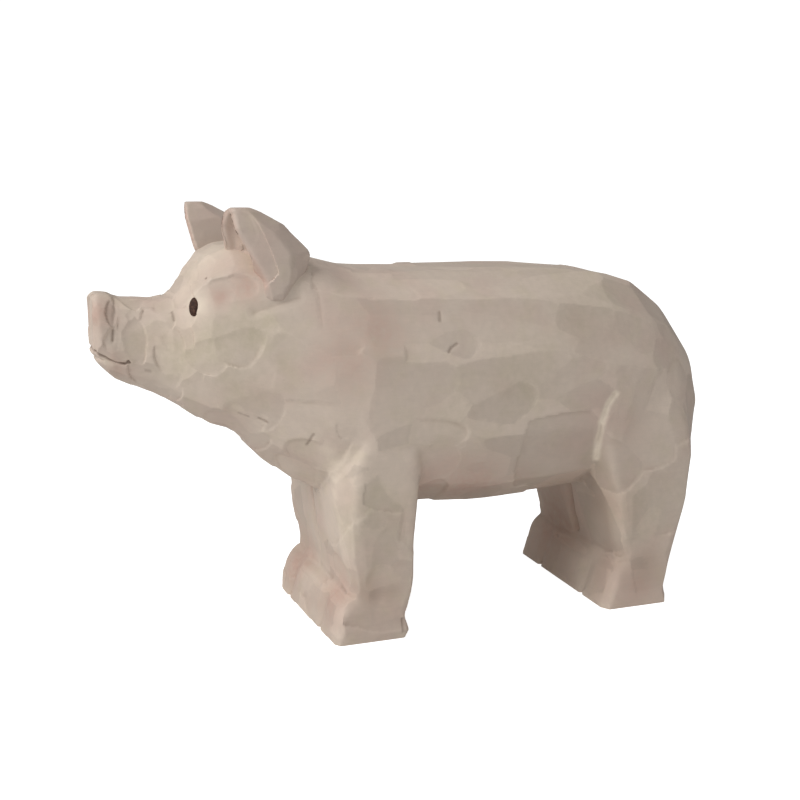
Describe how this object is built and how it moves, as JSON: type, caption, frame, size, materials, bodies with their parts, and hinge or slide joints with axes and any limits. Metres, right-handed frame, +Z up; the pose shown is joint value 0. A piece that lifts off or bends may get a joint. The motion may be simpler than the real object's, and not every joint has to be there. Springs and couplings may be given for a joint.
{
  "type": "pig figurine",
  "caption": "Carved wooden pig figurine standing on block legs, with a knife-faceted body, hollowed upright ears, inlaid dark eyes and a small curled tail.",
  "frame": {"origin": "on the ground, at the middle of the figure's length and width", "axes": "+Z up, head towards -Y, the pig's left side towards +X"},
  "size_m": [0.036, 0.109, 0.072],
  "materials": {
    "washed_wood": "pale pink-cream wash over bare knife cuts, matt",
    "ear_wood": "the same wash with a rosier tint, matt",
    "eye_inlay": "dark stained, slightly polished"
  },
  "bodies": {
    "root": {"body": "washed_wood", "left_ear": "ear_wood", "right_ear": "ear_wood", "left_eye": "eye_inlay", "right_eye": "eye_inlay", "tail": "ear_wood"}
  },
  "joints": []
}
